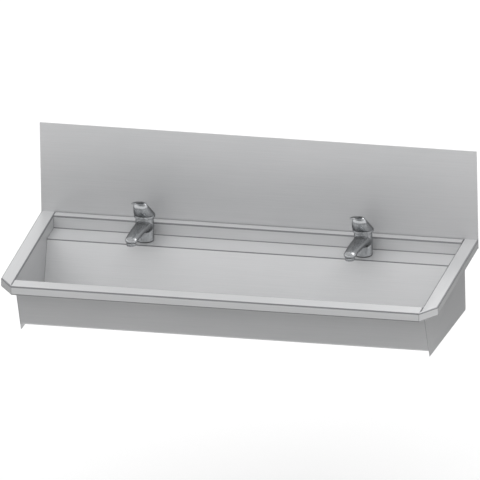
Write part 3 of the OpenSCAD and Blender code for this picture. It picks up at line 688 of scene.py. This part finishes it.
# The spout runs out flatter and narrower towards its tip, swells where it joins the body,
# and its tip closes as an ellipse. Its sections start inside the body's wall, bent round the bore,
# and straighten on their way out: forward = start + (straight - start) * along.
def spoutShape(steps=64):
    straight, tipReach, wrap = tap["spoutStraight"], tap["spoutTipHalf"], tap["spoutRootRing"]
    across = tap["spoutRootHalf"] * np.cos(circleAngles(steps))
    start = np.sqrt(np.clip(wrap ** 2 - across ** 2, 0, None))
    along = np.linspace(0, 1, 41)[:, None]
    tip = straight + tipReach * np.sin(np.radians(np.linspace(6, 90, 15)))[:, None]
    forward = np.concatenate([start + (straight - start) * along, np.repeat(tip, steps, 1)])
    left = np.clip((straight - forward) / straight, 0, 1)

    def tapered(tipKey, rootKey, curveKey):  # value = tip + (root - tip) * left^curve
        return tap[tipKey] + (tap[rootKey] - tap[tipKey]) * left ** tap[curveKey]
    past = np.clip(forward - tap["flareFrom"], 0, None)
    flare = tap["flare"] * np.exp(-past / tap["flareLength"])
    width = tapered("spoutTipHalf", "spoutRootHalf", "halfCurve")
    top = tapered("spoutTipTop", "spoutRootTop", "topCurve") + tap["flareTop"] * flare
    foot = tapered("spoutTipFoot", "spoutRootFoot", "footCurve") - flare
    close = np.sqrt(np.clip(1 - (np.clip(forward - straight, 0, None) / tipReach) ** 2, 0, 1))
    middle, half = (foot + top) / 2, (top - foot) / 2 * close
    return rooted(crossLoft(forward, width * close, middle - half, middle + half,
                            tap["spoutSquareness"], steps), wrap)


def outletShape():  # the aerator, with a fine groove round it, from its bore round the outside
    r, bore, low, high = (tap[key] for key in ("outletRadius", "outletBore", "outletFoot",
                                               "outletTop"))
    points, quads = revolved([
        [bore, high], [bore, low + 0.4], [bore + 0.4, low], [r - 0.8, low], [r - 0.2, low + 0.3],
        [r, low + 1], [r, low + 3.2], [r - 0.5, low + 3.4], [r - 0.5, low + 3.9], [r, low + 4.1],
        [r, high - 0.4], [r - 0.4, high + 1.5], [bore, high + 1.5], [bore, high]])
    return points - [0, tap["outletForward"], 0], quads


# The hood's skin lies over four forms: its round foot, a ball at the back of the ridge, the belly
# and the nose. For each direction of a sphere its point is the mean of the forms' farthest points
# that way, and the farthest form counts most: weight = exp(distance along the direction / blend).
# Its underside runs into the foot: point = foot's + (skin's - foot's) * (3 s^2 - 2 s^3), where
# s goes from 0 to 1 over a few millimetres outside the foot.
def hoodSkin(inset, foot, rows=88, steps=96):
    up, turn = np.radians(np.linspace(-89.9, 89.9, rows))[:, None], circleAngles(steps)[None]
    way = np.stack([np.cos(up) * np.cos(turn), np.cos(up) * np.sin(turn),
                    np.repeat(np.sin(up), steps, 1)], -1)
    forms = [([0, 0, foot], [tap["skinFoot"], tap["skinFoot"], inset]),
             ([0, 0, tap["ridgeHeight"]], [tap["ridgeBall"]] * 3),
             ([0, -tap["bellyForward"], tap["bellyHeight"]], tap["bellyHalf"]),
             ([0, -tap["noseForward"], tap["noseHeight"]], tap["noseHalf"])]
    points, reach = [], []
    for middle, half in forms:
        half = np.array(half) - inset
        out = middle + half ** 2 * way / np.linalg.norm(half * way, axis=-1, keepdims=True)
        points.append(out)
        reach.append((out * way).sum(-1, keepdims=True))
    weight = np.exp((np.array(reach) - np.max(reach, 0)) / tap["blend"])
    skin = (np.array(points) * weight).sum(0) / weight.sum(0)
    onFoot = np.linalg.norm(skin - points[0], axis=-1, keepdims=True) < tap["snap"]
    skin = np.where(onFoot, points[0], skin)
    past = np.linalg.norm(skin[..., :2], axis=-1, keepdims=True) - tap["skinFoot"] + inset
    share = np.where(way[..., 2:] < 0, np.clip(past / tap["underside"], 0, 1), 1)
    share = np.where(share < tap["leastShare"], 0, share)
    skin = points[0] + (skin - points[0]) * share * share * (3 - 2 * share)
    skin[-1] = skin[-1].mean(0)
    return skin


# The blade rises in an arch from the hood's nose, wide and thick at its root, and closes
# with a round tip.
def bladeShape():
    reach, half, root = tap["bladeReach"], tap["bladeWidth"] / 2, tap["bladeRoot"]
    (wide, wideFade), (thicker, thickFade) = tap["rootWidens"], tap["rootThickens"]
    forward = np.concatenate([np.linspace(root, reach - half, 34),
                              reach - half + half * np.sin(np.radians(np.linspace(8, 90, 12)))])
    along = (forward - root) / (reach - root)
    close = np.sqrt(np.clip(1 - (np.clip(forward - reach + half, 0, None) / half) ** 2, 0, 1))
    width = (half + wide * np.exp(-along * wideFade)) * close
    rise = (tap["bladeTipTop"] - tap["bladeTop"]) * along
    top = tap["bladeTop"] + rise + tap["bladeArch"] * along * (1 - along)
    thick = (tap["bladeThick"] * (1 - tap["bladeTaper"] * along ** 2)
             + thicker * np.exp(-along * thickFade))
    middle, thin = top - thick / 2, thick / 2 * np.sqrt(close)
    columns = (v[:, None] for v in (forward, width, middle - thin, middle + thin))
    return rooted(crossLoft(*columns, tap["bladeSquareness"], steps=56))


# The lever: a rim, a fine groove over it, the skin, and the same skin drawn in for the hollow
def leverShape():
    low, r, wall = tap["hoodFoot"], tap["hoodRadius"], tap["hoodWall"]
    high = low + tap["hoodRim"]
    rim = [(r - wall, low + 0.3), (r - wall + 0.3, low), (r - 0.5, low), (r - 0.15, low + 0.15),
           (r, low + 0.5), (r, high - 0.4), (r - 0.12, high - 0.12), (r - 0.4, high)]
    groove = [(r - 1, high), (r - 1, high + 0.5), (tap["skinFoot"] - 0.1, high + 0.5)]
    return [tube(np.concatenate([hoodSkin(wall, high)[::-1],
                                 np.stack([ringAt(*pair) for pair in rim + groove]),
                                 hoodSkin(0, high + tap["skinLift"])])), bladeShape()]


# The index plug: a button with a soft edge, turned to lie on the hood's front and just proud
def plugShape():
    r = tap["plugRadius"]
    points, quads = revolved([[0, -5], [r, -5], [r, 0], [r - 0.1, 0.2], [r - 0.4, 0.35],
                              [r - 1.4, 0.5], [r - 2.6, 0.6], [0, 0.65]], steps=40)
    skin = hoodSkin(0, tap["hoodFoot"] + tap["hoodRim"] + tap["skinLift"])
    front = skin[:, 3 * skin.shape[1] // 4, 1:]      # [y, z] down the middle of the hood's front
    at = np.argmin(np.abs(front[:, 1] - tap["plugHeight"]))
    rise = (front[at + 1] - front[at - 1]) / np.linalg.norm(front[at + 1] - front[at - 1])
    out = np.array([-rise[1], rise[0]])
    turned = points[:, 1:2] * rise + points[:, 2:3] * out + front[at]
    return np.column_stack([points[:, 0], turned]), quads


tapParts = [   # name, shapes, finish, the tap's own body or the trough's, node
    ("TapBody", [bodyShape(), spoutShape()], chromePlate, "trough", ["tap_body", "spout"]),
    ("Lever", leverShape(), chromePlate, "handle", ["lever"]),
    ("IndexPlug", [plugShape()], greyAcetal, "handle", ["index_plug"]),
    ("Outlet", [outletShape()], chromePlate, "trough", ["aerator"]),
]
for side, x in (("left", -t["tapX"]), ("right", t["tapX"])):
    place = [x, t["tapY"], -t["ledgeDrop"]]
    for part, shapes, finish, body, here in tapParts:
        addObject(side + part, [(points + place, quads) for points, quads in shapes], finish,
                  body if body == "trough" else f"{side}_{body}",
                  [f"{side}_{node}" for node in here], sharp=40)
print("taps made")


# floor, surroundings and lamps

stageLook = {
    "floorZ": -0.85,            # the rims stand 850 mm above the floor
    "floorHalf": 9.0,
    "floor": "#B8B8B8",
    "floorLift": 0.50,          # on top of the floor's own light, for what looks at or mirrors it
    "worldLight": 0.42,         # on matt surfaces
    "lampFrom": (-0.12, -0.45, 1.0),
    "lampSpread": 80,           # degrees across, for soft shadows
    "lampStrength": 2.8,
    "cards": [                  # place, where it faces, width and height in metres, grey, strength
        ((0.0, -0.3, 2.3), (0.0, -0.3, 0.0), (6.4, 4.6), "#B8B8B8"),         # ceiling
        ((0.0, -2.4, 2.1), (0.0, -0.3, 0.0), (4.4, 1.5), "#909090"),         # front, high
        ((0.1, 0.95, 1.25), (0.0, -0.2, 0.0), (4.4, 0.3), "#FFFFFF", 1.2),   # strip behind
        ((0.68, 0.58, 1.15), (0.0, -0.15, 0.0), (1.1, 0.5), "#FFFFFF", 4.0),  # window behind
        ((-1.6, 0.15, -0.45), (-0.6, -0.5, 0.0), (0.9, 0.8), "#606060"),     # left
        ((0.9, 1.1, -0.5), (0.5, -0.3, -0.1), (1.3, 1.0), "#7A7A7A"),        # behind, right
        ((0.0, -0.8, -0.47), (0.0, -0.5, -0.47), (3.0, 0.74), "#A0A0A0"),    # front, low
        ((0.0, -0.75, -0.84), (0.0, -0.6, 0.0), (3.0, 0.8), "#909090"),      # on the floor
    ],
}


def lightPathMask(tree):  # 1 for the camera's own rays and for those of reflections and glass
    path = addNode(tree, "ShaderNodeLightPath", {}).outputs
    shiny = addNode(tree, "ShaderNodeMath", {0: path["Is Camera Ray"], 1: path["Is Glossy Ray"]},
                    operation="MAXIMUM").outputs[0]
    return addNode(tree, "ShaderNodeMath", {0: shiny, 1: path["Is Transmission Ray"]},
                   operation="MAXIMUM").outputs[0]


def stageSheet(name, corners, material):
    mesh = bpy.data.meshes.new(name)
    mesh.from_pydata([tuple(corner) for corner in corners], [], [(0, 1, 2, 3)])
    mesh.materials.append(material)
    obj = bpy.data.objects.new(name, mesh)
    bpy.context.collection.objects.link(obj)
    return obj


def addFloor(look):
    half, z = look["floorHalf"], look["floorZ"]
    material, tree = newMaterial("matt studio floor")
    matt = addNode(tree, "ShaderNodeBsdfDiffuse", {"Color": linear(look["floor"])})
    glow = addNode(tree, "ShaderNodeMath", {0: lightPathMask(tree), 1: look["floorLift"]},
                   operation="MULTIPLY")
    light = addNode(tree, "ShaderNodeEmission",
                    {"Color": (1, 1, 1, 1), "Strength": glow.outputs[0]})
    both = addNode(tree, "ShaderNodeAddShader", {0: matt.outputs[0], 1: light.outputs[0]})
    addNode(tree, "ShaderNodeOutputMaterial", {"Surface": both.outputs[0]})
    stageSheet("studioFloor", [(-half, -half, z), (half, -half, z), (half, half, z),
                               (-half, half, z)], material)


def addWorld(look):  # white to the camera and to reflections, dimmer on matt surfaces
    world = bpy.data.worlds.new("studio")
    bpy.context.scene.world = world
    world.use_nodes = True
    tree = world.node_tree
    tree.nodes.clear()
    strength = addNode(tree, "ShaderNodeMapRange", {
        "Value": lightPathMask(tree), "To Min": look["worldLight"], "To Max": 1.0})
    back = addNode(tree, "ShaderNodeBackground",
                   {"Color": (1, 1, 1, 1), "Strength": strength.outputs[0]})
    addNode(tree, "ShaderNodeOutputWorld", {"Surface": back.outputs[0]})


def addLamp(look):  # one broad soft light, the same over the whole floor
    lamp = bpy.data.lights.new("soft lamp", "SUN")
    lamp.energy, lamp.angle = look["lampStrength"], math.radians(look["lampSpread"])
    obj = bpy.data.objects.new("soft lamp", lamp)
    bpy.context.collection.objects.link(obj)
    obj.location = look["lampFrom"]
    obj.rotation_euler = Vector(look["lampFrom"]).to_track_quat("Z", "Y").to_euler()
    obj.visible_glossy = False


def addCard(number, place, aim, size, grey, strength=1.0):  # only reflections show it
    place, aim = Vector(place), Vector(aim)
    turn = (aim - place).to_track_quat("-Z", "Y").to_matrix()
    across, upward = turn.col[0] * size[0] / 2, turn.col[1] * size[1] / 2
    material, tree = newMaterial(f"studio card {number}")
    glow = addNode(tree, "ShaderNodeEmission", {"Color": linear(grey), "Strength": strength})
    addNode(tree, "ShaderNodeOutputMaterial", {"Surface": glow.outputs[0]})
    corners = [place - across - upward, place + across - upward, place + across + upward,
               place - across + upward]
    obj = stageSheet(f"studioCard{number}", corners, material)
    obj.visible_camera = obj.visible_diffuse = obj.visible_shadow = False
    obj.visible_transmission = False


addFloor(stageLook)
addWorld(stageLook)
addLamp(stageLook)
for number, card in enumerate(stageLook["cards"]):
    addCard(number, *card)
print("studio set")
